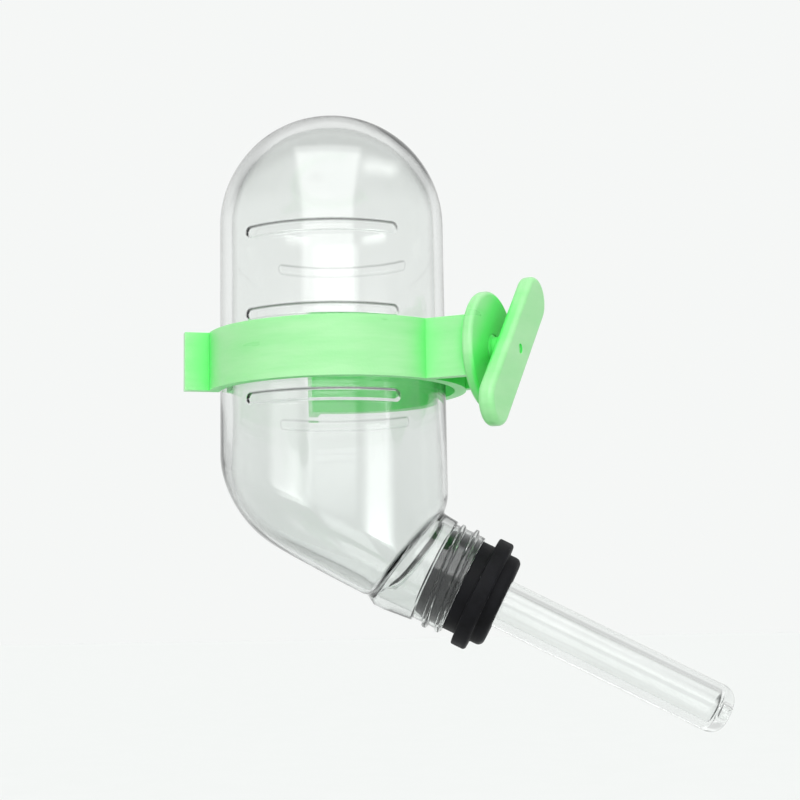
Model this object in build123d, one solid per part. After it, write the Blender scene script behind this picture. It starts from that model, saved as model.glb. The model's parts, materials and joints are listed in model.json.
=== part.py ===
"""Hanging water bottle for rabbits and other small animals, held on a cage wall by a screw clip.

Frame: the origin is the centre of the clip's clamping face. +X is the clamp axis, out of the clip
and through the cage wall. +Z is up, along the bottle's own axis. Sizes are in millimetres.
"""
from build123d import *
import os
from math import cos, degrees, radians, sin

# Layout
CLAMP_REACH = 32.5          # clamping face to bottle axis
NECK_TURN = 21.0            # how far the neck is turned from the clamp axis, about +Z, degrees
NECK_DROP = 27.0            # how far the neck points below level, degrees
NECK_CROSSING_Z = -29.2     # where the neck axis crosses the bottle axis

# Bottle
BOTTLE_R = 21.0
BOTTLE_WALL = 1.0
DOME_CENTRE_Z = 26.3
BASE_DEPTH = 8.9            # slanted bottom, square to the neck axis
BASE_SLOPE = 1.5            # slant of the bottom past the neck axis, degrees
BASE_CORNER_R = 10.0
SHOULDER_START = 15.4       # where the shoulder crosses the neck axis
SHOULDER_LEAN = 13.0        # the shoulder leans out over the neck, degrees
SHOULDER_CORNER_R = 2.0

# Measuring bars pressed into the front and back of the bottle
BAR_TOPS_Z = (23.05, 8.1, -7.05)
BAR_HEIGHT = 2.2
BAR_DEPTH = 0.4
BAR_HALF_ANGLE = 40.6

# Neck and its thread, measured along the neck axis from the bottle axis
NECK_SINK = 0.8             # how far inside the shoulder the neck is started
NECK_FOOT_R = 10.4
NECK_R = 9.9
NECK_BORE_R = 8.75
NECK_PLAIN_END = 20.6
MOUTH = 26.4
THREAD_ROOT_R = 9.4
THREAD_CREST_R = 10.15
THREAD_CREST_WIDTH = 0.5
THREAD_PITCH = 2.6
THREAD_TURNS = 1.5
THREAD_START = 21.9
THREAD_SINK = 0.15          # how deep a thread's foot is sunk in its cylinder

# Rubber stopper, along the same axis
PLUG_START = 19.9
PLUG_TIP_R = 7.6
PLUG_NOSE_R = 8.1
PLUG_NOSE_END = 20.6
PLUG_R = 8.7
PLUG_TAPER_END = 22.6
RIM_START = 28.8
RIM_END = 31.7
RIM_R = 10.55
RIM_EDGE_R = 0.6
BOSS_R = 8.65
BOSS_END = 34.2
BOSS_EDGE_R = 1.2
STOPPER_BORE_R = 4.55

# Glass drinking tube, along the same axis
TUBE_R = 4.5
TUBE_BORE_R = 2.9
TUBE_START = 19.9
TUBE_END = 79.1
TIP_ROUND_R = 2.9
TIP_THICKNESS = 2.4
TIP_FLOOR_R = 0.9           # inner corner at the end of the bore
ORIFICE_R = 1.3

# Clip
BAND_HEIGHT = 10.7
BAND_INNER_R = 21.3
BAND_OUTER_R = 23.4
BAND_ENDS = (130.0, 218.0)  # the open part of the band, anticlockwise from the clamp axis, degrees
CLAMP_SIDE_ROOM = 1.5       # how much further the band stands off on the clamp side
LIP_LENGTH = 4.4
LIP_THICKNESS = 2.0
LIP_INSET = 2.0             # middle of each lip, from the end of the band, degrees
ARM_OFFSET = 9.0            # outer face of each straight arm, from the clamp axis
ARM_THICKNESS = 2.0
FLANGE_R = 10.7
FLANGE_THICKNESS = 2.0
FLANGE_EDGE_R = 0.7
STUD_HOLE_R = 3.06

# Clamp screw: a threaded stud with a flat oblong knob
KNOB_GAP = 2.1
KNOB_THICKNESS = 2.9
KNOB_LENGTH = 36.8
KNOB_WIDTH = 8.7
KNOB_TURN = 42.5            # the knob's long axis from vertical, about the clamp axis, degrees
KNOB_EDGE_R = 1.0
KNOB_DIMPLE_R = 0.9
KNOB_DIMPLE_DEPTH = 0.3
SOCKET_R = 2.5
SOCKET_DEPTH = 1.5
SPIGOT_R = 2.44
SPIGOT_LENGTH = 1.45
STUD_CREST_R = 3.0
STUD_CREST_WIDTH = 0.45
STUD_ROOT_R = 2.45
STUD_PITCH = 1.8
STUD_TIP_X = -5.7
STUD_TIP_CHAMFER = 0.6
STUD_THREAD_MARGIN = 0.8    # plain length at each end of the stud

BOTTLE_AXIS = Location((-CLAMP_REACH, 0, 0), (0, 0, NECK_TURN))
BAND_AXIS = Location((-CLAMP_REACH, 0, 0))
FAR = 80.0                  # past every face of the part
CLOSE = 0.01                # radii nearer than this are the same


def neck_frame(along):
    """A frame on the neck axis: Z points out of the mouth, X points up and Y is level."""
    drop = radians(NECK_DROP)
    turn = radians(NECK_TURN)
    out = Vector(cos(drop) * cos(turn), cos(drop) * sin(turn), -sin(drop))
    up = Vector(sin(drop) * cos(turn), sin(drop) * sin(turn), cos(drop))
    crossing = Vector(-CLAMP_REACH, 0, NECK_CROSSING_Z)
    return Plane(origin=crossing + out * along, x_dir=up, z_dir=out).location


def turned(outline):
    """The solid that an outline, given as (radius, distance along Z), makes about Z."""
    face = make_face(Polyline(*[(r, 0, z) for r, z in outline], close=True))
    return revolve(face, Axis.Z)


def circles_of(solid):
    return solid.edges().filter_by(GeomType.CIRCLE)


def thread(root_r, crest_r, pitch, turns, crest_width):
    """A raised helical ridge that stands on a cylinder of root_r, starting at z = 0."""
    depth = crest_r - root_r + THREAD_SINK
    foot_width = crest_width + depth
    path = Helix(pitch=pitch, height=pitch * turns, radius=root_r - THREAD_SINK)
    section = Plane(origin=path @ 0, x_dir=(1, 0, 0), z_dir=path % 0) * Polyline(
        (0, -foot_width / 2),
        (depth, -crest_width / 2),
        (depth, crest_width / 2),
        (0, foot_width / 2),
        close=True,
    )
    return sweep(make_face(section), path=path, is_frenet=True)


def shoulder_cutter(back):
    """Everything past the shoulder's plane, once that plane is moved back along the neck."""
    shoulder = neck_frame(SHOULDER_START - back) * Rot(0, -SHOULDER_LEAN, 0)
    return shoulder * Box(FAR, FAR, FAR, align=(Align.CENTER, Align.CENTER, Align.MIN))


def bottle_body(inset):
    """The bottle without its neck, with every face moved inwards by inset."""
    radius = BOTTLE_R - inset
    upright = BOTTLE_AXIS * Rot(0, 0, 180)
    body = upright * Pos(0, 0, -FAR) * Cylinder(
        radius, DOME_CENTRE_Z + FAR, align=(Align.CENTER, Align.CENTER, Align.MIN)
    )

    # slanted bottom
    slant = neck_frame(0) * Location((-BASE_DEPTH + inset, 0, 0), (0, -BASE_SLOPE, 0))
    body -= slant * Box(FAR, FAR, 4 * FAR, align=(Align.MAX, Align.CENTER, Align.CENTER))
    body = fillet(body.edges().filter_by(GeomType.ELLIPSE), BASE_CORNER_R - inset)

    # shoulder that the neck grows out of
    body -= shoulder_cutter(inset)
    mouthward = Plane(neck_frame(0)).z_dir
    flat_faces = body.faces().filter_by(GeomType.PLANE)
    shoulder_face = flat_faces.sort_by(lambda face: face.center().dot(mouthward))[-1]
    body = fillet(shoulder_face.edges(), SHOULDER_CORNER_R - inset)

    return body + upright * Pos(0, 0, DOME_CENTRE_Z) * Sphere(radius)


def measuring_bar(top_z, facing):
    """One long round-ended bar that cuts BAR_DEPTH into the side that faces the given way."""
    end_r = BAR_HEIGHT / 2
    end_angle = BAR_HALF_ANGLE - degrees(end_r / BOTTLE_R)
    inner_r = BOTTLE_R - BAR_DEPTH
    outer_r = BOTTLE_R + BAR_DEPTH
    middle = BOTTLE_AXIS * Pos(0, 0, top_z - end_r) * Rot(0, 0, facing)
    corner_x = FAR * cos(radians(end_angle))
    corner_y = FAR * sin(radians(end_angle))
    wedge = make_face(Polyline((0, 0), (corner_x, -corner_y), (corner_x, corner_y), close=True))
    ring = Circle(outer_r) - Circle(inner_r)
    bar = middle * extrude(ring & wedge, amount=end_r, both=True)
    for side in (-1, 1):
        end = Rot(0, 0, side * end_angle) * Pos(inner_r, 0, 0) * Rot(0, 90, 0)
        bar += middle * end * Cylinder(
            end_r, outer_r - inner_r, align=(Align.CENTER, Align.CENTER, Align.MIN)
        )
    return bar


def make_bottle():
    neck = turned(
        [
            (0, 0),
            (NECK_FOOT_R, 0),
            (NECK_FOOT_R, SHOULDER_START),
            (NECK_R, NECK_PLAIN_END),
            (THREAD_ROOT_R, NECK_PLAIN_END),
            (THREAD_ROOT_R, MOUTH),
            (0, MOUTH),
        ]
    )
    bore = Cylinder(NECK_BORE_R, FAR, align=(Align.CENTER, Align.CENTER, Align.MIN))
    bottle = bottle_body(0) + (neck_frame(0) * neck & shoulder_cutter(NECK_SINK))
    bottle -= bottle_body(BOTTLE_WALL)
    bottle -= neck_frame(0) * bore & shoulder_cutter(2 * BOTTLE_WALL)
    for top_z in BAR_TOPS_Z:
        for facing in (-90, 90):
            bottle -= measuring_bar(top_z, facing)
    bottle += neck_frame(THREAD_START) * thread(
        THREAD_ROOT_R, THREAD_CREST_R, THREAD_PITCH, THREAD_TURNS, THREAD_CREST_WIDTH
    )
    return bottle


def make_stopper():
    stopper = turned(
        [
            (STOPPER_BORE_R, PLUG_START),
            (PLUG_TIP_R, PLUG_START),
            (PLUG_NOSE_R, PLUG_NOSE_END),
            (PLUG_R, PLUG_TAPER_END),
            (PLUG_R, RIM_START),
            (RIM_R, RIM_START),
            (RIM_R, RIM_END),
            (BOSS_R, RIM_END),
            (BOSS_R, BOSS_END),
            (STOPPER_BORE_R, BOSS_END),
        ]
    )
    rim_edges = [edge for edge in circles_of(stopper) if abs(edge.radius - RIM_R) < CLOSE]
    stopper = fillet(rim_edges, RIM_EDGE_R)
    boss_edges = [edge for edge in circles_of(stopper) if abs(edge.radius - BOSS_R) < CLOSE]
    outer_edge = max(boss_edges, key=lambda edge: edge.arc_center.Z)
    stopper = fillet(outer_edge, BOSS_EDGE_R)
    return neck_frame(0) * stopper


def make_drinking_tube():
    floor = TUBE_END - TIP_THICKNESS
    tube = turned(
        [
            (TUBE_BORE_R, TUBE_START),
            (TUBE_R, TUBE_START),
            (TUBE_R, TUBE_END),
            (ORIFICE_R, TUBE_END),
            (ORIFICE_R, floor),
            (TUBE_BORE_R, floor),
        ]
    )
    tip_edge = max(circles_of(tube), key=lambda edge: edge.arc_center.Z + edge.radius)
    tube = fillet(tip_edge, TIP_ROUND_R)
    floor_edges = [edge for edge in circles_of(tube) if abs(edge.radius - TUBE_BORE_R) < CLOSE]
    floor_edge = max(floor_edges, key=lambda edge: edge.arc_center.Z)
    tube = fillet(floor_edge, TIP_FLOOR_R)
    return neck_frame(0) * tube


def stretched_circle(radius):
    """A circle about the bottle axis, drawn out towards the clamp by CLAMP_SIDE_ROOM."""
    middle = Rectangle(CLAMP_SIDE_ROOM, 2 * radius, align=(Align.MIN, Align.CENTER))
    return Circle(radius) + middle + Pos(CLAMP_SIDE_ROOM, 0) * Circle(radius)


def make_clip_bracket():
    flange_back = CLAMP_REACH - FLANGE_THICKNESS

    # band, open at the side away from the clamp
    gap_start, gap_end = BAND_ENDS
    gap_angles = [radians(gap_start + (gap_end - gap_start) * i / 4) for i in range(5)]
    gap = make_face(
        Polyline((0, 0), *[(FAR * cos(a), FAR * sin(a)) for a in gap_angles], close=True)
    )
    plan = stretched_circle(BAND_OUTER_R) - gap

    # a lip turned out at each end, and a straight arm from each side of the band to the flange
    lip = Pos(BAND_INNER_R, 0) * Rectangle(
        BAND_OUTER_R - BAND_INNER_R + LIP_LENGTH, LIP_THICKNESS, align=(Align.MIN, Align.CENTER)
    )
    arm = Pos(BAND_INNER_R, 0) * Rectangle(
        flange_back - BAND_INNER_R + FLANGE_EDGE_R, ARM_THICKNESS, align=(Align.MIN, Align.CENTER)
    )
    for angle in (gap_start - LIP_INSET, gap_end + LIP_INSET):
        plan += Rot(0, 0, angle) * lip
    for side in (-1, 1):
        plan += Pos(0, side * (ARM_OFFSET - ARM_THICKNESS / 2)) * arm
    plan -= stretched_circle(BAND_INNER_R)
    clip = extrude(plan, amount=BAND_HEIGHT / 2, both=True)

    # round flange with the screw's hole
    along_clamp = Pos(flange_back, 0, 0) * Rot(0, 90, 0)
    flange = Cylinder(FLANGE_R, FLANGE_THICKNESS, align=(Align.CENTER, Align.CENTER, Align.MIN))
    clip += along_clamp * fillet(circles_of(flange), FLANGE_EDGE_R)
    clip -= along_clamp * Cylinder(STUD_HOLE_R, FLANGE_THICKNESS * 3)
    return BAND_AXIS * clip


def make_clamp_stud():
    length = KNOB_GAP - STUD_TIP_X
    stud = turned(
        [
            (0, 0),
            (STUD_ROOT_R - STUD_TIP_CHAMFER, 0),
            (STUD_ROOT_R, STUD_TIP_CHAMFER),
            (STUD_ROOT_R, length),
            (SPIGOT_R, length),
            (SPIGOT_R, length + SPIGOT_LENGTH),
            (0, length + SPIGOT_LENGTH),
        ]
    )
    turns = (length - 2 * STUD_THREAD_MARGIN) / STUD_PITCH
    ridge = thread(STUD_ROOT_R, STUD_CREST_R, STUD_PITCH, turns, STUD_CREST_WIDTH)
    stud += Pos(0, 0, STUD_THREAD_MARGIN) * ridge
    return Pos(STUD_TIP_X, 0, 0) * Rot(0, 90, 0) * stud


def make_clamp_knob():
    plate = extrude(SlotOverall(KNOB_LENGTH, KNOB_WIDTH), amount=KNOB_THICKNESS)
    faces = plate.faces().sort_by(Axis.Z)
    plate = fillet(faces[0].edges() + faces[-1].edges(), KNOB_EDGE_R)
    plate -= Cylinder(SOCKET_R, SOCKET_DEPTH, align=(Align.CENTER, Align.CENTER, Align.MIN))
    plate -= Pos(0, 0, KNOB_THICKNESS - KNOB_DIMPLE_DEPTH) * Cylinder(
        KNOB_DIMPLE_R, 1, align=(Align.CENTER, Align.CENTER, Align.MIN)
    )
    outward = Plane(origin=(KNOB_GAP, 0, 0), x_dir=(0, 0, 1), z_dir=(1, 0, 0))
    return outward.location * Rot(0, 0, -KNOB_TURN) * plate


PARTS = {
    "bottle": make_bottle,
    "stopper": make_stopper,
    "drinking_tube": make_drinking_tube,
    "clip_bracket": make_clip_bracket,
    "clamp_stud": make_clamp_stud,
    "clamp_knob": make_clamp_knob,
}

if __name__ == "__main__":
    os.makedirs("parts", exist_ok=True)
    for name, make in PARTS.items():
        export_step(make(), f"parts/{name}.step")
        print(name)
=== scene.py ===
"""Hanging water bottle for rabbits and other small animals, in a screw clip, in a pale studio.

Shapes are in millimetres until they go into a mesh. Materials, the floor and the studio are in
metres.
"""

import json
import math

import bpy
import numpy as np
from mathutils import Matrix, Vector


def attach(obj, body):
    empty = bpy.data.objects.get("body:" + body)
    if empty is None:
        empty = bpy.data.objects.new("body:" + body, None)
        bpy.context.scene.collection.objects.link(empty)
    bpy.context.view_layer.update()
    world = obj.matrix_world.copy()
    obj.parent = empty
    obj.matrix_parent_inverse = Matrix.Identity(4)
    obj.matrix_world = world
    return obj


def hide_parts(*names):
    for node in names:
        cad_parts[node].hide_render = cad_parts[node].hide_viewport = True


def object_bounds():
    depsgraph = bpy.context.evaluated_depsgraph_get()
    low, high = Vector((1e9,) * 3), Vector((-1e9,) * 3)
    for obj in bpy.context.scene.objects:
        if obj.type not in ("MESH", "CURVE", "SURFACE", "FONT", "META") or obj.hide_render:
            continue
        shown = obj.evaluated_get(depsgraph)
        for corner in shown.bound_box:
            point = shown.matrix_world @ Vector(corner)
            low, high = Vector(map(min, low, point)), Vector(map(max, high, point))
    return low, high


MM = 0.001
TINY = 1e-6                 # keeps a division off zero

# Bottle, as in the part
NECK_DROP = math.radians(27.0)
BOTTLE_R = 21.0
DOME_CENTRE_Z = 26.3
NECK_CROSSING_Z = -29.2
BASE_DEPTH = 8.9
BASE_SLOPE = math.radians(1.5)
BASE_CORNER_R = 10.0
SHOULDER_START = 15.4
SHOULDER_LEAN = math.radians(13.0)
SHOULDER_CORNER_R = 2.0
NECK_SINK = 0.8
NECK_FOOT_R = 10.4
NECK_R = 9.9
NECK_BORE_R = 8.75
NECK_PLAIN_END = 20.6
NECK_BLEND = 0.6            # softness of the corner where the neck leaves the shoulder
MOUTH = 26.4
LIP_R = 0.2

# Corners inside the bottle are tighter than outside by the wall's thickness, but not below these
INSIDE_BASE_CORNER_R = 0.5
INSIDE_SHOULDER_CORNER_R = 0.4

# Wall of the blown bottle, thinnest over the slanted bottom and low down on the neck's side
WALL = 2.1
WALL_NECK_SIDE = 1.75
WALL_LOW_NECK_SIDE = 1.0
WALL_BOTTOM = 0.8

# Where the wall starts to thin and over what height, on the neck's side and towards the bottom
NECK_SIDE_THINS_FROM_Z = 4.0
NECK_SIDE_THINS_OVER = 24.0
BOTTOM_THINS_FROM_Z = -6.0
BOTTOM_THINS_OVER = 32.0

# Anything further out than this is the outside of the wall, even at the foot of a bar
OUTSIDE_FROM_R = 20.3

# Measuring bars
BAR_TOPS_Z = (23.05, 8.1, -7.05)
BAR_HEIGHT = 2.2
BAR_HALF_ANGLE = math.radians(40.6)
# The bars' dark lines are painted shade, standing in for the dark edges that refraction shows where
# the wall is pressed in
BAR_LINE_IN = 0.12          # middle of the painted shade line on a bar's pressed edge, inside its outline
BAR_LINE_HALF_WIDTH = 0.3
BAR_UPPER_PART = 0.75       # share of a bar's height, from its top, where the top's painted shade reaches
BAR_UPPER_FADE = 0.3        # share of a bar's height over which it fades out at the bottom

# Facing, depth, width of the pressed edge, and greyness of its painted shade line along the top
# and the bottom: the far bars are fainter
BAR_SIDES = [
    (-math.pi / 2, 0.34, 0.35, 1.0, 0.0),
    (math.pi / 2, 0.2, 0.6, 0.4, 0.3),
]

# Neck thread
THREAD_ROOT_R = 9.4
THREAD_HEIGHT = 0.75
THREAD_CREST_WIDTH = 0.5
THREAD_FLANK = 0.38
THREAD_PITCH = 2.6
THREAD_TURNS = 1.5
THREAD_START = 21.9
THREAD_FADE = math.radians(14.0)

# Where the bottle's mesh changes from level rings to rings that swing round to the neck
SWING_START_Z = -14.0
SWING_END = 19.6

# How finely the bottle's mesh is divided
COLUMN_STEP = math.radians(2.6)
BAR_END_COLUMN_STEP = 0.0125            # radians
BAR_END_INSIDE = 0.03                   # radians of close columns before a bar's end starts
BAR_END_OUTSIDE = 0.05                  # and past its end
WALL_RING_STEP = 1.6
BAR_RING_STEP = 0.17
BAR_RING_MARGIN = 0.55                  # close rings above and below a bar
OUTER_DOME_RINGS = 44
OUTER_SWING_RINGS = 116
NECK_FOOT_RINGS = 5
NECK_FOOT_START = 0.2                   # past the last swinging ring
NECK_FOOT_STOP = 0.05                   # before the thread's first ring
THREAD_RING_STEP = 0.13
LIP_RINGS = 4
BORE_RINGS = 7
BORE_START = 1.0                        # from the mouth
BORE_STOP = 0.3                         # before the first swinging ring
INNER_SWING_RINGS = 84
INNER_WALL_RINGS = 24
INNER_WALL_START = 1.5                  # above the last swinging ring
INNER_DOME_RINGS = 38

# Where the surface is looked for along a ray from the point where the neck's axis crosses the
# bottle's
RAY_NEAR = 1.0
RAY_FAR = 60.0
RAY_HALVINGS = 34

# Rubber stopper and glass tube, as (radius, distance along the neck, corner radius)
STOPPER_OUTLINE = [
    (4.55, 19.9, 0.1), (7.6, 19.9, 0.25), (8.1, 20.6, 0.2), (8.7, 22.6, 0.3), (8.7, 28.8, 0.15),
    (10.55, 28.8, 0.35), (10.55, 31.7, 0.6), (8.65, 31.7, 0.3), (8.65, 34.2, 1.2), (4.55, 34.2, 0.2),
]
TUBE_OUTLINE = [
    (2.9, 19.9, 0.3), (4.49, 19.9, 0.3), (4.49, 79.08, 2.9), (1.3, 79.08, 0.3), (1.3, 76.7, 0.3),
    (2.9, 76.7, 0.9),
]
STOPPER_CORNER_STEPS = 7
TUBE_CORNER_STEPS = 9
TURNED_COLUMNS = 120

# The tip's seat, inside the end of the tube, painted grey on one side: painted shade for the dark
# crescent refraction shows there
TIP_SEAT_START = 76.1
TIP_SEAT_END = 77.0
TIP_SEAT_R = 2.95
TIP_SHADE_TURN = math.radians(-60.0)

# Camera, in millimetres
CAMERA_AT = (107.0, -267.8, -47.3)
CAMERA_YAW = math.radians(-25.16)
CAMERA_PITCH = math.radians(7.66)
CAMERA_ROLL = math.radians(-0.93)
CAMERA_LENS = 73.46
CAMERA_SENSOR = 36.0
CAMERA_CLIP = (0.01, 50.0)              # m

# Floor
FLOOR_BELOW = 0.55                      # m, under the lowest point: the bottle hangs
FLOOR_HALF_SIZE = 60.0                  # m
FLOOR_DARK = (0.395, 0.402, 0.398)
FLOOR_LIGHT = (0.402, 0.408, 0.405)
FLOOR_GLOW = 0.425

# Clear plastic, a little greyer low down, and painted dark where a wall is seen edge on: painted
# shade for the dark outlines that refraction and reflection show, added to the slight greying of a
# longer path
PLASTIC_DARK = (0.90, 0.915, 0.905)
PLASTIC_LIGHT = (0.925, 0.94, 0.93)
LOW_PLASTIC_DARK = (0.82, 0.843, 0.83)
LOW_PLASTIC_LIGHT = (0.86, 0.88, 0.87)
LOW_PLASTIC_UP_TO = -0.030              # m
HIGH_PLASTIC_FROM = 0.010               # m
PLASTIC_EDGE_SHADE = (0.02, 0.021, 0.02)
PLASTIC_EDGE_FROM = 0.66                # 0 faces the eye, 1 is edge on
PLASTIC_SHADOW = (0.86, 0.89, 0.87)

# Glass
GLASS_DARK = (0.90, 0.913, 0.905)
GLASS_LIGHT = (0.935, 0.945, 0.94)
# painted shade where the glass is seen edge on
GLASS_EDGE_SHADE = (0.2, 0.205, 0.2)
GLASS_EDGE_FROM = 0.7
GLASS_SHADOW = (0.9, 0.92, 0.91)

# Painted shade lines on the clear pieces: dark lines that stand in for the shade refraction shows
SHADE_LINE_COLOUR = (0.03, 0.032, 0.031)

# Green plastic
GREEN_DARK = (0.225, 0.60, 0.23)
GREEN_LIGHT = (0.34, 0.655, 0.33)
# Painted shade: hollows found by ambient occlusion are painted this deeper, more saturated green
GREEN_HOLLOW_SHADE = (0.10, 0.73, 0.14)
HOLLOW_SHADE_REACH = 0.008                    # m

# Rubber
RUBBER_DARK = (0.002, 0.002, 0.0025)
RUBBER_LIGHT = (0.008, 0.008, 0.010)

# Studio light
STUDIO_TINT = (0.985, 1.0, 0.99)
SURROUND_FRONT = 0.5
SURROUND_BACK = 0.93
CEILING_SHARE = 0.78
SIDE_SHARE = 0.7
BACKDROP = 0.93

# Where the light changes, by how far a direction points away from the viewer, up or sideways
BACK_FADE = (-0.2, 0.75)
CEILING_LOWER_FADE = (0.34, 0.46)
CEILING_UPPER_FADE = (0.76, 0.58)
CEILING_FRONT_FADE = (-0.1, 0.3)
SIDE_FADE = (0.2, 0.45)                 # of the sideways part squared
HORIZON_FADE = (0.72, 0.2)

# Windows: left, right, low and high edges, softness, softness of the low edge, brightness
WINDOWS = [
    (-0.24, 0.2, 0.0, 0.58, 0.025, 0.04, 2.5),
    (0.28, 0.50, -0.5, -0.005, 0.07, 0.1, 4.2),
    (0.24, 0.46, 0.36, 0.49, 0.05, 0.06, 2.4),
    (-0.52, -0.28, -0.45, 0.0, 0.05, 0.05, 4.2),
]
WINDOW_SPREAD = 0.5                     # how much wider the windows get towards the top

# Sockets of a Mix node that mixes colours
COLOUR_A = 6
COLOUR_B = 7
COLOUR_RESULT = 2


# ---------------------------------------------------------------- mesh helpers

def mesh_object(name, points, faces, body, node, greys=None):
    """A smooth piece from points in metres, which rides on a body and stands for a CAD node.

    greys says how dark the painted shade lines on clear pieces are at each point, 0 to 1.
    """
    mesh = bpy.data.meshes.new(name)
    mesh.from_pydata(points.tolist(), [], faces)
    mesh.shade_smooth()
    mesh.update()
    if greys is not None:
        mesh.attributes.new("painted_shade_line", "FLOAT", "POINT").data.foreach_set("value", greys)
    piece = bpy.data.objects.new(name, mesh)
    bpy.context.scene.collection.objects.link(piece)
    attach(piece, body)
    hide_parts(node)
    return piece


def ring_faces(rings, columns, closed):
    """Quads between rings of points, and from the last ring to the first if closed."""
    faces = []
    bands = rings if closed else rings - 1
    for i in range(bands):
        a = i * columns
        b = (i + 1) % rings * columns
        for j in range(columns):
            k = (j + 1) % columns
            faces.append((a + j, b + j, b + k, a + k))
    return faces


def rounded_outline(corners, steps):
    """A closed outline of (radius, along) points with each corner rounded to its own radius."""
    points = []
    for i, (x, y, r) in enumerate(corners):
        before = np.array(corners[i - 1][:2], float)
        after = np.array(corners[(i + 1) % len(corners)][:2], float)
        at = np.array((x, y), float)
        u = (before - at) / np.linalg.norm(before - at)
        v = (after - at) / np.linalg.norm(after - at)
        half = math.acos(float(np.clip(u @ v, -1, 1))) / 2
        cut = r / math.tan(half)
        middle = (u + v) / np.linalg.norm(u + v)
        centre = at + middle * r / math.sin(half)
        start = at + u * cut - centre
        end = at + v * cut - centre
        turn = math.acos(float(np.clip(start @ end / (r * r), -1, 1)))
        for k in range(steps):
            t = k / (steps - 1)
            arc = (math.sin((1 - t) * turn) * start + math.sin(t * turn) * end) / math.sin(turn)
            points.append(centre + arc)
    return np.array(points)


# ---------------------------------------------------------------- the bottle's shape

def neck_coordinates(p):
    """Distance along the neck axis and height above it, for points (towards neck, level, up)."""
    h = p[..., 0]
    z = p[..., 2] - NECK_CROSSING_Z
    along = h * math.cos(NECK_DROP) - z * math.sin(NECK_DROP)
    above = h * math.sin(NECK_DROP) + z * math.cos(NECK_DROP)
    return along, above


def rounded_max(a, b, r):
    """Where two solids meet, the part inside both, with its edge rounded to r."""
    u = a + r
    v = b + r
    return np.minimum(np.maximum(u, v), 0) + np.hypot(np.maximum(u, 0), np.maximum(v, 0)) - r


def soft_min(a, b, k):
    """Both solids joined, with a fillet about k wide between them."""
    blend = np.maximum(k - np.abs(a - b), 0) / k
    return np.minimum(a, b) - blend * blend * k / 4


def eased(t):
    """0 to 1 with a soft start and end."""
    t = np.clip(t, 0, 1)
    return t * t * (3 - 2 * t)


def wall_at(p):
    """The wall's thickness near a point."""
    radial = np.maximum(np.linalg.norm(p[..., :2], axis=-1), TINY)
    towards_neck = 0.5 + 0.5 * p[..., 0] / radial
    low = eased((NECK_SIDE_THINS_FROM_Z - p[..., 2]) / NECK_SIDE_THINS_OVER)
    bottom = eased((BOTTOM_THINS_FROM_Z - p[..., 2]) / BOTTOM_THINS_OVER)
    neck_side = WALL_NECK_SIDE + (WALL_LOW_NECK_SIDE - WALL_NECK_SIDE) * low
    wall = WALL + (neck_side - WALL) * towards_neck
    return wall + (WALL_BOTTOM - wall) * bottom


def bottle_field(p, inset, neck_r):
    """Below zero inside the bottle's surface moved inwards by inset, with a neck of neck_r."""
    along, above = neck_coordinates(p)
    radial = np.hypot(p[..., 0], p[..., 1])
    side = np.hypot(radial, np.maximum(p[..., 2] - DOME_CENTRE_Z, 0)) - (BOTTLE_R - inset)
    base = -(
        (above + BASE_DEPTH - inset) * math.cos(BASE_SLOPE) + along * math.sin(BASE_SLOPE)
    )
    shoulder = (
        (along - SHOULDER_START + inset) * math.cos(SHOULDER_LEAN)
        - above * math.sin(SHOULDER_LEAN)
    )
    base_corner = np.maximum(BASE_CORNER_R - inset, INSIDE_BASE_CORNER_R)
    shoulder_corner = np.maximum(SHOULDER_CORNER_R - inset, INSIDE_SHOULDER_CORNER_R)
    body = rounded_max(side, base, base_corner)
    body = rounded_max(body, shoulder, shoulder_corner)
    neck = np.maximum(np.hypot(above, p[..., 1]) - neck_r(along), -(shoulder + NECK_SINK))
    return soft_min(body, neck, NECK_BLEND)


def outer_neck_r(along):
    """The neck's plain foot, which narrows a little towards the thread."""
    t = np.clip((along - SHOULDER_START) / (NECK_PLAIN_END - SHOULDER_START), 0, 1)
    return NECK_FOOT_R + (NECK_R - NECK_FOOT_R) * t


def inner_neck_r(along):
    """The neck's straight bore."""
    return np.full_like(along, NECK_BORE_R)


def column_angles():
    """Angles round the bottle from the neck's side, closest together at the ends of the bars."""
    end = BAR_HALF_ANGLE - BAR_HEIGHT / 2 / BOTTLE_R
    fine = np.arange(end - BAR_END_INSIDE, BAR_HALF_ANGLE + BAR_END_OUTSIDE, BAR_END_COLUMN_STEP)
    marks = [math.pi / 2 - fine, math.pi / 2 + fine, -math.pi / 2 - fine, -math.pi / 2 + fine]
    marks = np.sort(np.concatenate(marks) % (2 * math.pi))
    angles = []
    for a, b in zip(marks, np.append(marks[1:], marks[0] + 2 * math.pi)):
        steps = max(1, round((b - a) / COLUMN_STEP))
        angles.extend(a + (b - a) * k / steps for k in range(steps))
    return np.array(angles)


def bar_heights():
    """Levels of the rings on the straight wall, closest together across the bars."""
    levels = [DOME_CENTRE_Z]
    for top in BAR_TOPS_Z:
        foot = top - BAR_HEIGHT
        levels.extend(np.arange(top + BAR_RING_MARGIN, foot - BAR_RING_MARGIN, -BAR_RING_STEP))
    levels.append(SWING_START_Z)
    rows = []
    for a, b in zip(levels[:-1], levels[1:]):
        steps = max(1, round((a - b) / WALL_RING_STEP))
        rows.extend(a + (b - a) * k / steps for k in range(steps))
    return np.array(rows)


def past_bar(angle, z, top, facing):
    """Distance outside a measuring bar's outline, below zero inside it."""
    reach = BAR_HALF_ANGLE * BOTTLE_R - BAR_HEIGHT / 2
    turn = (angle - facing + math.pi) % (2 * math.pi) - math.pi
    past_end = np.maximum(np.abs(turn) * BOTTLE_R - reach, 0)
    return np.hypot(past_end, z - top + BAR_HEIGHT / 2) - BAR_HEIGHT / 2


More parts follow.
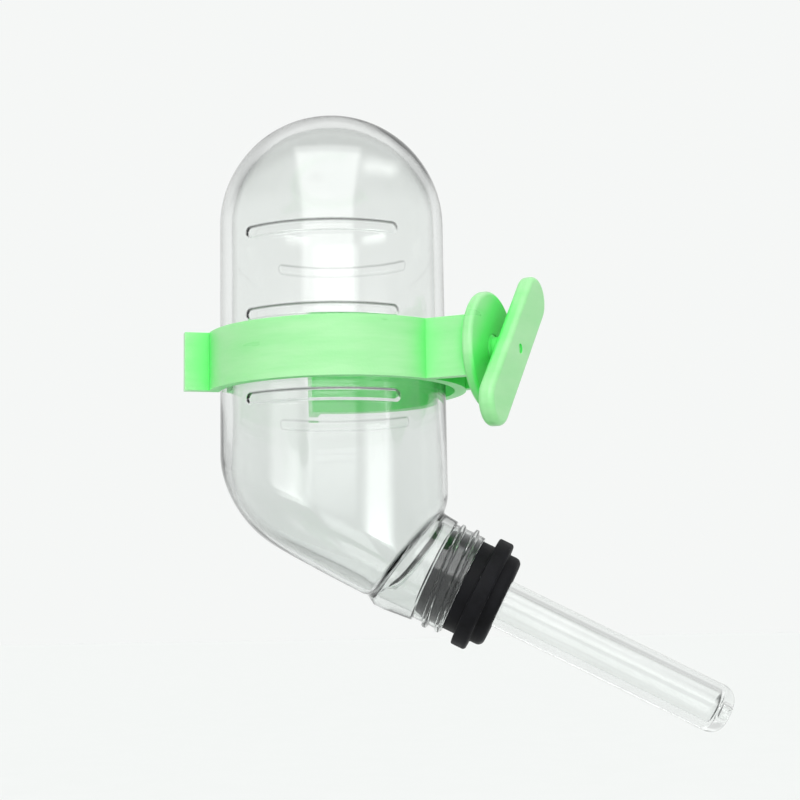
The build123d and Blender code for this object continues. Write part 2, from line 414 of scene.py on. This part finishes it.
def bar_depth(angle, z):
    """How far the measuring bars are pressed in at this place on the wall."""
    depth = np.zeros_like(angle)
    for top in BAR_TOPS_Z:
        for facing, full, soft, _, _ in BAR_SIDES:
            edge = past_bar(angle, z, top, facing)
            depth = np.maximum(depth, full * eased(-edge / soft))
    return depth


def painted_bar_shade(angle, z):
    """Painted shade along the bars' pressed edges, 0 to 1: dark lines standing in for the shade that
    refraction shows there.
    """
    shade = np.zeros_like(angle)
    for top in BAR_TOPS_Z:
        upper = eased((z - top + BAR_UPPER_PART * BAR_HEIGHT) / (BAR_UPPER_FADE * BAR_HEIGHT))
        for facing, _, _, top_grey, low_grey in BAR_SIDES:
            edge = past_bar(angle, z, top, facing)
            line = eased(1 - np.abs(edge + BAR_LINE_IN) / BAR_LINE_HALF_WIDTH)
            grey = low_grey + (top_grey - low_grey) * upper
            shade = np.maximum(shade, grey * line)
    return shade


def level_ring(angles, radius, z):
    """A level ring round the bottle's own axis."""
    z = np.broadcast_to(z, angles.shape)
    return np.stack([radius * np.cos(angles), radius * np.sin(angles), z], -1)


def swing_rings(angles, shares, inner, neck_r, end_r):
    """Rings that swing from level, at a share of 0, to square with the neck, at a share of 1.

    They lie on the bottle's outer or inner surface, which is found by halving along rays from
    the point where the neck's axis crosses the bottle's.
    """
    start_half = math.atan2(BOTTLE_R, SWING_START_Z - NECK_CROSSING_Z)
    end_half = math.atan2(end_r, SWING_END)
    full_swing = math.pi / 2 - NECK_DROP
    rings = []
    for share in shares:
        swing = full_swing * share
        half = (math.pi - start_half) * (1 - share) + end_half * share
        axis = np.array((math.sin(swing), 0, -math.cos(swing)))
        up = np.array((math.cos(swing), 0, math.sin(swing)))
        level = np.array((0, 1, 0))
        round_it = np.outer(np.cos(angles), up) + np.outer(np.sin(angles), level)
        rays = math.cos(half) * axis + math.sin(half) * round_it
        near = np.full(len(angles), RAY_NEAR)
        far = np.full(len(angles), RAY_FAR)
        for _ in range(RAY_HALVINGS):
            middle = (near + far) / 2
            p = rays * middle[:, None] + (0, 0, NECK_CROSSING_Z)
            inset = wall_at(p) if inner else 0.0
            inside = bottle_field(p, inset, neck_r) < 0
            near = np.where(inside, middle, near)
            far = np.where(inside, far, middle)
        rings.append(rays * near[:, None] + (0, 0, NECK_CROSSING_Z))
    return rings


def neck_ring(angles, radius, along):
    """A ring square with the neck, at this distance along its axis."""
    out = np.array((math.cos(NECK_DROP), 0, -math.sin(NECK_DROP)))
    up = np.array((math.sin(NECK_DROP), 0, math.cos(NECK_DROP)))
    level = np.array((0, 1, 0))
    above = (radius * np.cos(angles))[:, None] * up
    beside = (radius * np.sin(angles))[:, None] * level
    return out * along + above + beside + (0, 0, NECK_CROSSING_Z)


def thread_radius(angles, along):
    """The neck's radius in its threaded part."""
    turned = (-angles) % (2 * math.pi)
    height = np.zeros_like(angles)
    for turn in range(math.ceil(THREAD_TURNS)):
        total = turned + 2 * math.pi * turn
        centre = THREAD_START + THREAD_PITCH * total / (2 * math.pi)
        past_crest = np.abs(along - centre) - THREAD_CREST_WIDTH / 2
        ridge = eased(1 - past_crest / THREAD_FLANK)
        to_end = np.minimum(total, THREAD_TURNS * 2 * math.pi - total)
        height = np.maximum(height, ridge * np.clip(to_end / THREAD_FADE, 0, 1))
    return THREAD_ROOT_R + THREAD_HEIGHT * height


def bottle_rings():
    """Every ring of the bottle, from the top of the dome outside round the mouth to its inside."""
    angles = column_angles()
    everywhere = np.ones_like(angles)
    rings = []

    # outside: dome, wall with its bars, slanted bottom and shoulder, neck with its thread
    for tilt in np.linspace(0, math.pi / 2, OUTER_DOME_RINGS)[1:-1]:
        z = DOME_CENTRE_Z + BOTTLE_R * math.cos(tilt)
        rings.append(level_ring(angles, BOTTLE_R * math.sin(tilt), z))
    for z in bar_heights():
        rings.append(level_ring(angles, BOTTLE_R - bar_depth(angles, z), z))
    shares = np.linspace(0, 1, OUTER_SWING_RINGS)
    rings += swing_rings(angles, shares, False, outer_neck_r, NECK_R)
    foot_start = SWING_END + NECK_FOOT_START
    foot_stop = NECK_PLAIN_END - NECK_FOOT_STOP
    for along in np.linspace(foot_start, foot_stop, NECK_FOOT_RINGS):
        rings.append(neck_ring(angles, everywhere * outer_neck_r(along), along))
    for along in np.arange(NECK_PLAIN_END, MOUTH - LIP_R, THREAD_RING_STEP):
        rings.append(neck_ring(angles, thread_radius(angles, along), along))

    # mouth
    for tilt in np.linspace(0, math.pi / 2, LIP_RINGS):
        radius = THREAD_ROOT_R - LIP_R + LIP_R * math.cos(tilt)
        along = MOUTH - LIP_R + LIP_R * math.sin(tilt)
        rings.append(neck_ring(angles, everywhere * radius, along))
    for tilt in np.linspace(0, math.pi / 2, LIP_RINGS):
        radius = NECK_BORE_R + LIP_R - LIP_R * math.sin(tilt)
        along = MOUTH - LIP_R + LIP_R * math.cos(tilt)
        rings.append(neck_ring(angles, everywhere * radius, along))

    # inside: bore, then back round to the dome
    for along in np.linspace(MOUTH - BORE_START, SWING_END + BORE_STOP, BORE_RINGS):
        rings.append(neck_ring(angles, everywhere * NECK_BORE_R, along))
    shares = np.linspace(1, 0, INNER_SWING_RINGS)
    rings += swing_rings(angles, shares, True, inner_neck_r, NECK_BORE_R)
    ring = level_ring(angles, BOTTLE_R, 0.0)
    for z in np.linspace(SWING_START_Z + INNER_WALL_START, DOME_CENTRE_Z, INNER_WALL_RINGS):
        ring[:, 2] = z
        rings.append(level_ring(angles, BOTTLE_R - wall_at(ring), z))
    towards_neck = 0.5 + 0.5 * np.cos(angles)
    for tilt in np.linspace(math.pi / 2, 0, INNER_DOME_RINGS)[1:-1]:
        thinner = (WALL - WALL_NECK_SIDE) * towards_neck * math.sin(tilt)
        radius = BOTTLE_R - WALL + thinner
        z = DOME_CENTRE_Z + (BOTTLE_R - WALL) * math.cos(tilt)
        rings.append(level_ring(angles, radius * math.sin(tilt), z))
    return rings


def placed(points, axis_at, turn):
    """Points round the bottle's own axis, put into the shared frame in metres."""
    x = points[:, 0] * math.cos(turn) - points[:, 1] * math.sin(turn)
    y = points[:, 0] * math.sin(turn) + points[:, 1] * math.cos(turn)
    return np.stack([x, y, points[:, 2]], -1) * MM + np.array((axis_at.x, axis_at.y, 0.0))


def make_bottle(axis_at, turn):
    """The bottle as one closed wall, and how much painted shade each of its points gets from the
    bars' lines.
    """
    rings = bottle_rings()
    columns = len(rings[0])
    points = np.concatenate(rings + [
        np.array([[0, 0, DOME_CENTRE_Z + BOTTLE_R]]),
        np.array([[0, 0, DOME_CENTRE_Z + BOTTLE_R - WALL]]),
    ])
    faces = ring_faces(len(rings), columns, False)
    outside_top = len(points) - 2
    inside_top = len(points) - 1
    last = (len(rings) - 1) * columns
    for j in range(columns):
        k = (j + 1) % columns
        faces.append((outside_top, j, k))
        faces.append((inside_top, last + k, last + j))
    outside = np.hypot(points[:, 0], points[:, 1]) > OUTSIDE_FROM_R
    greys = painted_bar_shade(np.arctan2(points[:, 1], points[:, 0]), points[:, 2]) * outside
    return placed(points, axis_at, turn), faces, greys


def turned_angles():
    """Angles round a turned piece."""
    return np.linspace(0, 2 * math.pi, TURNED_COLUMNS, endpoint=False)


def make_turned(outline, axis_at, turn):
    """A turned piece on the neck's axis, from a closed outline of (radius, distance along it)."""
    angles = turned_angles()
    rings = [neck_ring(angles, np.full_like(angles, r), along) for r, along in outline]
    faces = ring_faces(len(rings), TURNED_COLUMNS, True)
    return placed(np.concatenate(rings), axis_at, turn), faces


def painted_tip_shade(outline):
    """Painted shade at each point of the turned tube, 0 to 1: a dark crescent on one side of the
    tip's seat, where refraction shows shade.
    """
    radius = outline[:, 0]
    along = outline[:, 1]
    at_seat = (radius < TIP_SEAT_R) & (along > TIP_SEAT_START) & (along < TIP_SEAT_END)
    one_side = eased(1.0 + np.cos(turned_angles() - TIP_SHADE_TURN))
    return np.outer(at_seat, one_side).ravel()


# ---------------------------------------------------------------- materials

def new_material(name):
    """A material with its node tree's nodes and links, and its shader."""
    material = bpy.data.materials.new(name)
    material.use_nodes = True
    nodes = material.node_tree.nodes
    return material, nodes, material.node_tree.links, nodes["Principled BSDF"]


def noise(nodes, links, scale, detail=3.0, stretch=(1, 1, 1), roughness=0.5):
    """Noise in object space, with scale in features per metre."""
    place = nodes.new("ShaderNodeTexCoord")
    mapping = nodes.new("ShaderNodeMapping")
    mapping.inputs["Scale"].default_value = stretch
    texture = nodes.new("ShaderNodeTexNoise")
    texture.inputs["Scale"].default_value = scale
    texture.inputs["Detail"].default_value = detail
    texture.inputs["Roughness"].default_value = roughness
    links.new(place.outputs["Object"], mapping.inputs["Vector"])
    links.new(mapping.outputs["Vector"], texture.inputs["Vector"])
    return texture.outputs["Fac"]


def ranged(nodes, links, value, low, high, start=0.0, end=1.0):
    """value from start to end, stretched to low to high."""
    stretch = nodes.new("ShaderNodeMapRange")
    stretch.inputs["From Min"].default_value = start
    stretch.inputs["From Max"].default_value = end
    stretch.inputs["To Min"].default_value = low
    stretch.inputs["To Max"].default_value = high
    links.new(value, stretch.inputs["Value"])
    return stretch.outputs["Result"]


def two_colours(nodes, links, value, low, high):
    """A blend from the low colour to the high one, by a noise value round its middle."""
    ramp = nodes.new("ShaderNodeValToRGB")
    ramp.color_ramp.elements[0].color = (*low, 1)
    ramp.color_ramp.elements[0].position = 0.3
    ramp.color_ramp.elements[1].color = (*high, 1)
    ramp.color_ramp.elements[1].position = 0.7
    links.new(value, ramp.inputs["Fac"])
    return ramp.outputs["Color"]


def mixed(nodes, links, share, first, second):
    """Two colours mixed, each a plain colour or a socket: the second one's share is given."""
    mix = nodes.new("ShaderNodeMix")
    mix.data_type = "RGBA"
    links.new(share, mix.inputs["Factor"])
    for index, colour in ((COLOUR_A, first), (COLOUR_B, second)):
        if isinstance(colour, tuple):
            mix.inputs[index].default_value = (*colour, 1)
        else:
            links.new(colour, mix.inputs[index])
    return mix.outputs[COLOUR_RESULT]


def bumped(nodes, links, shader, height, distance, strength):
    """Fine relief on a shader's surface, at most distance metres high."""
    bump = nodes.new("ShaderNodeBump")
    bump.inputs["Distance"].default_value = distance
    bump.inputs["Strength"].default_value = strength
    links.new(height, bump.inputs["Height"])
    links.new(bump.outputs["Normal"], shader.inputs["Normal"])


def let_lamps_through(nodes, links, shader, colour):
    """Lamp rays pass a clear wall instead of leaving a black shadow behind it."""
    path = nodes.new("ShaderNodeLightPath")
    clear = nodes.new("ShaderNodeBsdfTransparent")
    clear.inputs["Color"].default_value = (*colour, 1)
    mix = nodes.new("ShaderNodeMixShader")
    links.new(path.outputs["Is Shadow Ray"], mix.inputs["Fac"])
    links.new(shader.outputs["BSDF"], mix.inputs[1])
    links.new(clear.outputs["BSDF"], mix.inputs[2])
    links.new(mix.outputs["Shader"], nodes["Material Output"].inputs["Surface"])


def with_painted_shade_lines(nodes, links, colour):
    """The colour with the mesh's painted shade lines drawn into it."""
    line = nodes.new("ShaderNodeAttribute")
    line.attribute_name = "painted_shade_line"
    return mixed(nodes, links, line.outputs["Fac"], colour, SHADE_LINE_COLOUR)


def painted_edge_shade(nodes, links, colour, edge_shade_colour, start):
    """Clear walls painted darker where they are seen edge on: painted shade for the dark outlines
    that refraction and reflection show, added to the slight greying of a longer path through the
    material.
    """
    facing = nodes.new("ShaderNodeLayerWeight")
    facing.inputs["Blend"].default_value = 0.5
    share = ranged(nodes, links, facing.outputs["Facing"], 0.0, 1.0, start=start, end=1.0)
    return mixed(nodes, links, share, colour, edge_shade_colour)


def clear_plastic():
    """Clear blown plastic, faintly grey-green, with slow flow marks and fine handling scuffs."""
    material, nodes, links, shader = new_material("clear_plastic")
    flow = noise(nodes, links, scale=55.0, detail=2.0, stretch=(1.0, 1.0, 0.45))
    place = nodes.new("ShaderNodeTexCoord")
    height = nodes.new("ShaderNodeSeparateXYZ")
    links.new(place.outputs["Object"], height.inputs["Vector"])
    upper = ranged(nodes, links, height.outputs["Z"], 0.0, 1.0,
                   start=LOW_PLASTIC_UP_TO, end=HIGH_PLASTIC_FROM)
    low_tint = two_colours(nodes, links, flow, LOW_PLASTIC_DARK, LOW_PLASTIC_LIGHT)
    high_tint = two_colours(nodes, links, flow, PLASTIC_DARK, PLASTIC_LIGHT)
    # painted shade: the bars' dark lines are drawn into the colour
    shade_lined = with_painted_shade_lines(nodes, links, mixed(nodes, links, upper, low_tint, high_tint))
    # painted shade where the wall is seen edge on
    links.new(painted_edge_shade(nodes, links, shade_lined, PLASTIC_EDGE_SHADE, PLASTIC_EDGE_FROM),
              shader.inputs["Base Color"])
    scuffs = noise(nodes, links, scale=900.0, detail=5.0, stretch=(1.0, 1.0, 0.3), roughness=0.65)
    links.new(ranged(nodes, links, scuffs, 0.0, 0.05, start=0.52, end=0.75),
              shader.inputs["Roughness"])
    shader.inputs["IOR"].default_value = 1.5
    shader.inputs["Transmission Weight"].default_value = 1.0
    bumped(nodes, links, shader, flow, distance=0.0006, strength=0.25)
    let_lamps_through(nodes, links, shader, PLASTIC_SHADOW)
    return material


def tube_glass():
    """Clear glass, faintly clouded, with fine scuffs."""
    material, nodes, links, shader = new_material("tube_glass")
    cloud = noise(nodes, links, scale=120.0, detail=2.0)
    # painted shade: the dark crescent at the tip's seat is drawn into the colour
    shade_lined = with_painted_shade_lines(nodes, links, two_colours(nodes, links, cloud, GLASS_DARK, GLASS_LIGHT))
    # painted shade where the glass is seen edge on
    links.new(painted_edge_shade(nodes, links, shade_lined, GLASS_EDGE_SHADE, GLASS_EDGE_FROM),
              shader.inputs["Base Color"])
    scuffs = noise(nodes, links, scale=1400.0, detail=4.0)
    links.new(ranged(nodes, links, scuffs, 0.0, 0.03, start=0.55, end=0.8),
              shader.inputs["Roughness"])
    shader.inputs["IOR"].default_value = 1.47
    shader.inputs["Transmission Weight"].default_value = 1.0
    bumped(nodes, links, shader, cloud, distance=0.0002, strength=0.2)
    let_lamps_through(nodes, links, shader, GLASS_SHADOW)
    return material


def green_plastic():
    """Mint green moulded plastic, with painted shade in its hollows: a deeper, more saturated green
    where light passing into the plastic tints the shade.
    """
    material, nodes, links, shader = new_material("green_plastic")
    streaks = noise(nodes, links, scale=240.0, detail=4.0, stretch=(0.16, 0.16, 1.0), roughness=0.6)
    face = two_colours(nodes, links, streaks, GREEN_DARK, GREEN_LIGHT)
    hollow_shade = nodes.new("ShaderNodeAmbientOcclusion")
    hollow_shade.inputs["Distance"].default_value = HOLLOW_SHADE_REACH
    hollow_shade.samples = 8
    unshaded_share = ranged(nodes, links, hollow_shade.outputs["AO"], 0.0, 1.0, start=0.66, end=1.0)
    links.new(mixed(nodes, links, unshaded_share, GREEN_HOLLOW_SHADE, face), shader.inputs["Base Color"])
    links.new(ranged(nodes, links, streaks, 0.26, 0.42, start=0.3, end=0.7),
              shader.inputs["Roughness"])
    shader.inputs["Subsurface Weight"].default_value = 0.35
    shader.inputs["Subsurface Radius"].default_value = (0.5, 1.0, 0.55)
    shader.inputs["Subsurface Scale"].default_value = 0.0018
    shader.inputs["IOR"].default_value = 1.5
    grain = noise(nodes, links, scale=2600.0, detail=4.0)
    bumped(nodes, links, shader, grain, distance=0.00004, strength=0.5)
    return material


def black_rubber():
    """Black moulded rubber, matt, with slightly paler patches and a fine rough skin."""
    material, nodes, links, shader = new_material("black_rubber")
    patches = noise(nodes, links, scale=260.0, detail=5.0, roughness=0.6)
    links.new(two_colours(nodes, links, patches, RUBBER_DARK, RUBBER_LIGHT),
              shader.inputs["Base Color"])
    links.new(ranged(nodes, links, patches, 0.42, 0.66, start=0.3, end=0.7),
              shader.inputs["Roughness"])
    shader.inputs["IOR"].default_value = 1.5
    shader.inputs["Specular IOR Level"].default_value = 0.1
    skin = noise(nodes, links, scale=3200.0, detail=4.0)
    bumped(nodes, links, shader, skin, distance=0.00006, strength=0.6)
    return material


def pale_floor():
    """A matt floor that glows a little, so that it stays as pale as the studio round it."""
    material, nodes, links, shader = new_material("pale_floor")
    cloud = noise(nodes, links, scale=6.0, detail=4.0)
    links.new(two_colours(nodes, links, cloud, FLOOR_DARK, FLOOR_LIGHT),
              shader.inputs["Base Color"])
    shader.inputs["Roughness"].default_value = 0.9
    shader.inputs["Specular IOR Level"].default_value = 0.0
    shader.inputs["Emission Color"].default_value = (*STUDIO_TINT, 1)
    shader.inputs["Emission Strength"].default_value = FLOOR_GLOW
    return material


# ---------------------------------------------------------------- studio

def add_camera():
    """The scene's camera. Gives back its forward direction and its level right-hand direction."""
    camera = bpy.data.objects.new("camera", bpy.data.cameras.new("camera"))
    bpy.context.scene.collection.objects.link(camera)
    forward = Vector((
        math.sin(CAMERA_YAW) * math.cos(CAMERA_PITCH),
        math.cos(CAMERA_YAW) * math.cos(CAMERA_PITCH),
        math.sin(CAMERA_PITCH),
    ))
    right = Vector((math.cos(CAMERA_YAW), -math.sin(CAMERA_YAW), 0))
    up = right.cross(forward)
    rolled_right = right * math.cos(CAMERA_ROLL) + up * math.sin(CAMERA_ROLL)
    rolled_up = up * math.cos(CAMERA_ROLL) - right * math.sin(CAMERA_ROLL)
    turn = Matrix((rolled_right, rolled_up, -forward)).transposed()
    camera.matrix_world = Matrix.Translation(Vector(CAMERA_AT) * MM) @ turn.to_4x4()
    camera.data.lens = CAMERA_LENS
    camera.data.sensor_width = CAMERA_SENSOR
    camera.data.clip_start, camera.data.clip_end = CAMERA_CLIP
    bpy.context.scene.camera = camera
    return forward, right


def add_floor(low):
    """The floor, well below the object's lowest corner."""
    size = FLOOR_HALF_SIZE
    z = low.z - FLOOR_BELOW
    corners = [(-size, -size, z), (size, -size, z), (size, size, z), (-size, size, z)]
    mesh = bpy.data.meshes.new("floor")
    mesh.from_pydata(corners, [], [(0, 1, 2, 3)])
    floor = bpy.data.objects.new("floor", mesh)
    bpy.context.scene.collection.objects.link(floor)
    mesh.materials.append(pale_floor())


def add_studio_light(forward, right):
    """A pale studio, darker on the viewer's side, at the sides and in a band of the ceiling.

    Near the horizon it is bright all round, so that a clear piece shows a pale room from any
    side. Soft windows are added to that. Each window's place is given by the surfaces that mirror
    it forwards: how far they are turned to the right and how far they are tipped up.
    """
    world = bpy.data.worlds.new("studio")
    bpy.context.scene.world = world
    world.use_nodes = True
    nodes = world.node_tree.nodes
    links = world.node_tree.links
    background = nodes["Background"]
    direction = nodes.new("ShaderNodeTexCoord").outputs["Generated"]

    def along(value, axis):
        """How far a direction points along an axis."""
        node = nodes.new("ShaderNodeVectorMath")
        node.operation = "DOT_PRODUCT"
        links.new(value, node.inputs[0])
        node.inputs[1].default_value = axis
        return node.outputs["Value"]

    def step(value, start, end):
        """0 at start and 1 at end, whichever of the two is larger."""
        node = nodes.new("ShaderNodeMapRange")
        node.interpolation_type = "SMOOTHSTEP"
        node.inputs["From Min"].default_value = min(start, end)
        node.inputs["From Max"].default_value = max(start, end)
        node.inputs["To Min"].default_value = 0.0 if start < end else 1.0
        node.inputs["To Max"].default_value = 1.0 if start < end else 0.0
        links.new(value, node.inputs["Value"])
        return node.outputs["Result"]

    def combine(operation, *values):
        """All the values taken together, one after another."""
        total = values[0]
        for value in values[1:]:
            node = nodes.new("ShaderNodeMath")
            node.operation = operation
            links.new(total, node.inputs[0])
            links.new(value, node.inputs[1])
            total = node.outputs["Value"]
        return total

    upward = Vector((0, 0, 1))
    level = Vector((forward.x, forward.y, 0)).normalized()
    halfway = nodes.new("ShaderNodeVectorMath")
    halfway.operation = "ADD"
    halfway.inputs[1].default_value = -forward
    links.new(direction, halfway.inputs[0])
    mirror = nodes.new("ShaderNodeVectorMath")
    mirror.operation = "NORMALIZE"
    links.new(halfway.outputs["Vector"], mirror.inputs[0])
    tipped = along(mirror.outputs["Vector"], upward)
    spread = ranged(nodes, links, tipped, 1.0, 1.0 + WINDOW_SPREAD)
    turned = combine("DIVIDE", along(mirror.outputs["Vector"], right), spread)

    glows = []
    for left_edge, right_edge, low_edge, high_edge, soft, low_soft, brightness in WINDOWS:
        mask = combine(
            "MULTIPLY",
            step(turned, left_edge - soft, left_edge + soft),
            step(turned, right_edge + soft, right_edge - soft),
            step(tipped, low_edge - low_soft, low_edge + low_soft),
            step(tipped, high_edge + soft, high_edge - soft),
        )
        glows.append(ranged(nodes, links, mask, 0.0, brightness))

    upward_part = along(direction, upward)
    level_part = along(direction, level)
    sideways_part = along(direction, right)
    surround = ranged(nodes, links, step(level_part, *BACK_FADE), SURROUND_FRONT, SURROUND_BACK)
    ceiling = combine(
        "MULTIPLY",
        step(upward_part, *CEILING_LOWER_FADE),
        step(upward_part, *CEILING_UPPER_FADE),
        step(level_part, *CEILING_FRONT_FADE),
    )
    sides = step(combine("MULTIPLY", sideways_part, sideways_part), *SIDE_FADE)
    room = combine(
        "MULTIPLY",
        surround,
        ranged(nodes, links, ceiling, 1.0, CEILING_SHARE),
        ranged(nodes, links, sides, 1.0, SIDE_SHARE),
    )
    horizon = ranged(nodes, links, step(upward_part, *HORIZON_FADE), 0.0, SURROUND_BACK)
    total = combine("ADD", combine("MAXIMUM", room, horizon), *glows)

    # what the camera sees past the object is one even pale backdrop
    path = nodes.new("ShaderNodeLightPath")
    seen = nodes.new("ShaderNodeMix")
    seen.inputs["B"].default_value = BACKDROP
    links.new(path.outputs["Is Camera Ray"], seen.inputs["Factor"])
    links.new(total, seen.inputs["A"])
    links.new(seen.outputs["Result"], background.inputs["Strength"])
    background.inputs["Color"].default_value = (*STUDIO_TINT, 1)


# ---------------------------------------------------------------- the scene

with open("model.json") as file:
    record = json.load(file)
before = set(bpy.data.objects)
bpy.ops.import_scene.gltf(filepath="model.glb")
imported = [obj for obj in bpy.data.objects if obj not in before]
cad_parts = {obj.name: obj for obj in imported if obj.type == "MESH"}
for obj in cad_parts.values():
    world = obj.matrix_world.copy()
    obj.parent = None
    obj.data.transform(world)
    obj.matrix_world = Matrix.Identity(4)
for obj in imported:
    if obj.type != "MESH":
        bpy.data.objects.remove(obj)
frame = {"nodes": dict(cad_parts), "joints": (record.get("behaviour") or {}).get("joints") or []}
cad_low, cad_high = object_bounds()

joints = {joint["name"]: joint for joint in frame["joints"]}
axis_at = Vector(joints["bottle_swivel"]["pos_m"])
neck_out = Vector(joints["stopper_pull"]["axis"])
neck_turn = math.atan2(neck_out.y, neck_out.x)

camera_forward, camera_right = add_camera()
add_floor(cad_low)
add_studio_light(camera_forward, camera_right)
bpy.context.scene.view_settings.view_transform = "Standard"

bottle_points, bottle_faces, bar_shade_lines = make_bottle(axis_at, neck_turn)
bottle = mesh_object("bottle_shell", bottle_points, bottle_faces, "bottle", "bottle", bar_shade_lines)
bottle.data.materials.append(clear_plastic())

tube_outline = rounded_outline(TUBE_OUTLINE, TUBE_CORNER_STEPS)
tube_points, tube_faces = make_turned(tube_outline, axis_at, neck_turn)
tip_shade_lines = painted_tip_shade(tube_outline)
tube = mesh_object("glass_tube", tube_points, tube_faces, "tube", "drinking_tube", tip_shade_lines)
tube.data.materials.append(tube_glass())

stopper_outline = rounded_outline(STOPPER_OUTLINE, STOPPER_CORNER_STEPS)
stopper_points, stopper_faces = make_turned(stopper_outline, axis_at, neck_turn)
stopper = mesh_object("rubber_stopper", stopper_points, stopper_faces, "stopper", "stopper")
stopper.data.materials.append(black_rubber())

green = green_plastic()
for node_name in ("clip_bracket", "clamp_stud", "clamp_knob"):
    for material_slot in frame["nodes"][node_name].material_slots:
        material_slot.material = green
